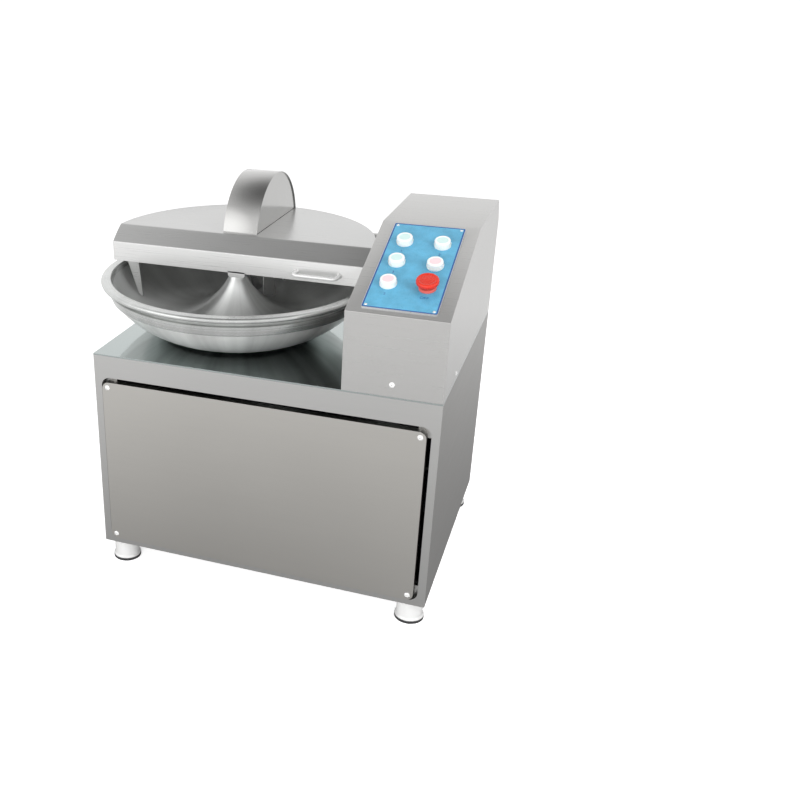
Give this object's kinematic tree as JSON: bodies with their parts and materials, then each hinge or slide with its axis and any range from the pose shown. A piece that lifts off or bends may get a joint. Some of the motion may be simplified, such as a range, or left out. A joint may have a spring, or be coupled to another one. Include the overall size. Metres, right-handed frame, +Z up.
{
  "type": "electric bowl chopper",
  "caption": "Floor- or bench-standing electric bowl chopper: a turning steel bowl under a hinged half lid with a knife arch, on a sheet-steel cabinet with a sloped control column.",
  "frame": {"origin": "on the floor under the middle of the machine's outer box", "axes": "+Z up, front (operator side) towards -Y, the control column at +X"},
  "size_m": [0.7442, 0.603, 0.7685],
  "materials": {
    "cabinet_steel": "brushed",
    "panel_steel": "brushed",
    "deck_steel": "polished",
    "screw_steel": "satin",
    "foot_steel": "polished",
    "pad_rubber": "matte",
    "control_plate_blue": "satin",
    "boot_white": "satin",
    "stop_red": "gloss",
    "stop_body_grey": "satin",
    "bowl_steel": "satin",
    "lid_steel": "polished",
    "handle_steel": "polished",
    "hinge_steel": "satin",
    "shaft_steel": "ground",
    "knife_steel": "polished",
    "cast_housing": "machined",
    "motor_paint": "semi-gloss",
    "belt_rubber": "matte",
    "case_plastic": "matte"
  },
  "bodies": {
    "cabinet": {"base_tray": "cabinet_steel", "left_side": "cabinet_steel", "right_side": "cabinet_steel", "front_frame": "cabinet_steel", "back_panel": "cabinet_steel", "deck_plate": "deck_steel", "front_panel": "panel_steel", "panel_screws": "screw_steel", "foot_front_left": "foot_steel", "foot_front_right": "foot_steel", "foot_rear_left": "foot_steel", "foot_rear_right": "foot_steel", "foot_pads": "pad_rubber", "column_housing": "cabinet_steel", "column_rear_cover": "cabinet_steel", "column_screws": "screw_steel", "control_plate": "control_plate_blue", "control_plate_screws": "screw_steel", "push_button_bodies": "boot_white", "stop_button_body": "stop_body_grey", "bowl_bearing_housing": "cast_housing", "bowl_bearings": "shaft_steel", "bowl_gearbox": "motor_paint", "bowl_motor": "motor_paint", "main_motor": "motor_paint", "drive_belt": "belt_rubber", "shaft_bearing_housing": "cast_housing", "bearing_pedestal": "cast_housing", "shaft_bearings": "shaft_steel", "shaft_seal": "belt_rubber", "hinge_bracket_left": "hinge_steel", "hinge_bracket_right": "hinge_steel", "hinge_pin": "hinge_steel", "electrical_box": "case_plastic", "cord_gland": "case_plastic"},
    "bowl": {"bowl": "bowl_steel", "bowl_skirt": "bowl_steel", "bowl_spindle": "shaft_steel"},
    "knife_shaft": {"knife_shaft": "shaft_steel", "knife_1": "knife_steel", "knife_2": "knife_steel", "knife_3": "knife_steel", "knife_spacers": "shaft_steel", "knife_nut": "shaft_steel", "knife_pulley": "cast_housing"},
    "motor_rotor": {"motor_shaft": "shaft_steel", "motor_pulley": "cast_housing"},
    "lid": {"lid": "lid_steel", "knife_arch": "lid_steel", "lid_handle": "handle_steel", "chamber_plate": "lid_steel", "scraper": "lid_steel", "lid_hinge_arms": "hinge_steel"},
    "button_1": {"button_cap_1": "boot_white"},
    "button_2": {"button_cap_2": "boot_white"},
    "button_3": {"button_cap_3": "boot_white"},
    "button_4": {"button_cap_4": "boot_white"},
    "button_5": {"button_cap_5": "boot_white"},
    "stop_stem": {"stop_button_stem": "stop_body_grey"},
    "stop_head": {"stop_button_head": "stop_red"}
  },
  "joints": [
    {"name": "bowl_spin", "type": "hinge", "parent": "cabinet", "child": "bowl", "pos_m": [-0.0971, -0.0265, 0.473], "axis": [0, 0, 1], "continuous": true},
    {"name": "knife_spin", "type": "hinge", "parent": "cabinet", "child": "knife_shaft", "pos_m": [-0.0971, 0.1095, 0.641], "axis": [1, 0, 0], "continuous": true},
    {"name": "motor_spin", "type": "hinge", "parent": "cabinet", "child": "motor_rotor", "pos_m": [0.3199, 0.1095, 0.151], "axis": [1, 0, 0], "continuous": true},
    {"name": "lid_hinge", "type": "hinge", "parent": "cabinet", "child": "lid", "pos_m": [-0.0971, 0.2585, 0.603], "axis": [-1, 0, 0], "range_deg": [0, 95]},
    {"name": "button_1_push", "type": "slide", "parent": "cabinet", "child": "button_1", "axis": [0, 0.3461, -0.9382], "range_m": [0, 0.003], "stiffness_N_per_m": 600, "springref_m": -0.002},
    {"name": "button_2_push", "type": "slide", "parent": "cabinet", "child": "button_2", "axis": [0, 0.3461, -0.9382], "range_m": [0, 0.003], "stiffness_N_per_m": 600, "springref_m": -0.002},
    {"name": "button_3_push", "type": "slide", "parent": "cabinet", "child": "button_3", "axis": [0, 0.3461, -0.9382], "range_m": [0, 0.003], "stiffness_N_per_m": 600, "springref_m": -0.002},
    {"name": "button_4_push", "type": "slide", "parent": "cabinet", "child": "button_4", "axis": [0, 0.3461, -0.9382], "range_m": [0, 0.003], "stiffness_N_per_m": 600, "springref_m": -0.002},
    {"name": "button_5_push", "type": "slide", "parent": "cabinet", "child": "button_5", "axis": [0, 0.3461, -0.9382], "range_m": [0, 0.003], "stiffness_N_per_m": 600, "springref_m": -0.002},
    {"name": "stop_push", "type": "slide", "parent": "cabinet", "child": "stop_stem", "axis": [0, 0.3461, -0.9382], "range_m": [0, 0.004], "stiffness_N_per_m": 900, "springref_m": -0.003},
    {"name": "stop_twist", "type": "hinge", "parent": "stop_stem", "child": "stop_head", "pos_m": [0.3132, -0.18057, 0.65038], "axis": [0, 0.3461, -0.9382], "range_deg": [0, 35], "stiffness_Nm_per_rad": 0.05}
  ],
  "couplings": [
    {"joint": "motor_spin", "follows": "knife_spin", "ratio": 0.75}
  ]
}
